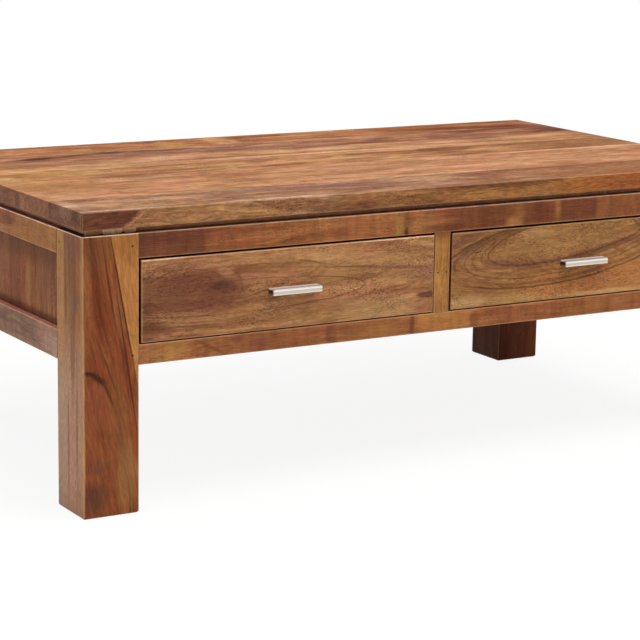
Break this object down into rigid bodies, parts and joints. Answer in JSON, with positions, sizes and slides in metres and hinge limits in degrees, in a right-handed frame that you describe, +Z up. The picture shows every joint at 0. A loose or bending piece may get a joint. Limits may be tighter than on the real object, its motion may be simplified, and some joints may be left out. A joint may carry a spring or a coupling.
{
  "type": "coffee table with drawers",
  "caption": "Rectangular solid-wood coffee table on square legs, with a shadow gap under the plank top, panelled sides and inset drawers with metal channel pulls.",
  "frame": {"origin": "on the floor, in the middle of the box round the whole table, pulls included", "axes": "+X along the length to the right as seen from the drawers, +Y from the drawer fronts to the back, +Z up"},
  "size_m": [1.1, 0.6144, 0.405],
  "materials": {
    "top_wood": "satin lacquer",
    "leg_wood": "satin lacquer",
    "rail_wood": "satin lacquer",
    "panel_wood": "satin lacquer",
    "drawer_front_wood": "satin lacquer",
    "drawer_box_wood": "planed",
    "drawer_bottom_plywood": "sanded",
    "inner_wood": "planed",
    "pull_metal": "satin",
    "fastener_steel": "plain"
  },
  "bodies": {
    "frame": {"top_plank_1": "top_wood", "top_plank_2": "top_wood", "top_plank_3": "top_wood", "top_plank_4": "top_wood", "top_plank_5": "top_wood", "top_plank_6": "top_wood", "top_plank_7": "top_wood", "left_front_leg": "leg_wood", "left_back_leg": "leg_wood", "right_front_leg": "leg_wood", "right_back_leg": "leg_wood", "front_upper_rail": "rail_wood", "front_lower_rail": "rail_wood", "back_upper_rail": "rail_wood", "back_lower_rail": "rail_wood", "left_upper_rail": "rail_wood", "left_lower_rail": "rail_wood", "right_upper_rail": "rail_wood", "right_lower_rail": "rail_wood", "centre_muntin": "rail_wood", "left_panel": "panel_wood", "right_panel": "panel_wood", "back_panel": "panel_wood", "centre_divider": "inner_wood", "left_runner": "inner_wood", "centre_runner": "inner_wood", "right_runner": "inner_wood", "left_bearer": "inner_wood", "centre_bearer": "inner_wood", "right_bearer": "inner_wood", "left_guide": "inner_wood", "right_guide": "inner_wood", "drawer_stops": "inner_wood", "frame_pins": "fastener_steel", "muntin_nails": "fastener_steel", "guide_screws": "fastener_steel", "top_screws": "fastener_steel"},
    "left_drawer": {"left_drawer_front": "drawer_front_wood", "left_drawer_left_side": "drawer_box_wood", "left_drawer_right_side": "drawer_box_wood", "left_drawer_back": "drawer_box_wood", "left_drawer_bottom": "drawer_bottom_plywood", "left_drawer_nails": "fastener_steel", "left_pull": "pull_metal", "left_pull_screws": "fastener_steel"},
    "right_drawer": {"right_drawer_front": "drawer_front_wood", "right_drawer_left_side": "drawer_box_wood", "right_drawer_right_side": "drawer_box_wood", "right_drawer_back": "drawer_box_wood", "right_drawer_bottom": "drawer_bottom_plywood", "right_drawer_nails": "fastener_steel", "right_pull": "pull_metal", "right_pull_screws": "fastener_steel"}
  },
  "joints": [
    {"name": "left_drawer_slide", "type": "slide", "parent": "frame", "child": "left_drawer", "axis": [0, -1, 0], "range_m": [0, 0.36]},
    {"name": "right_drawer_slide", "type": "slide", "parent": "frame", "child": "right_drawer", "axis": [0, -1, 0], "range_m": [0, 0.36]}
  ]
}
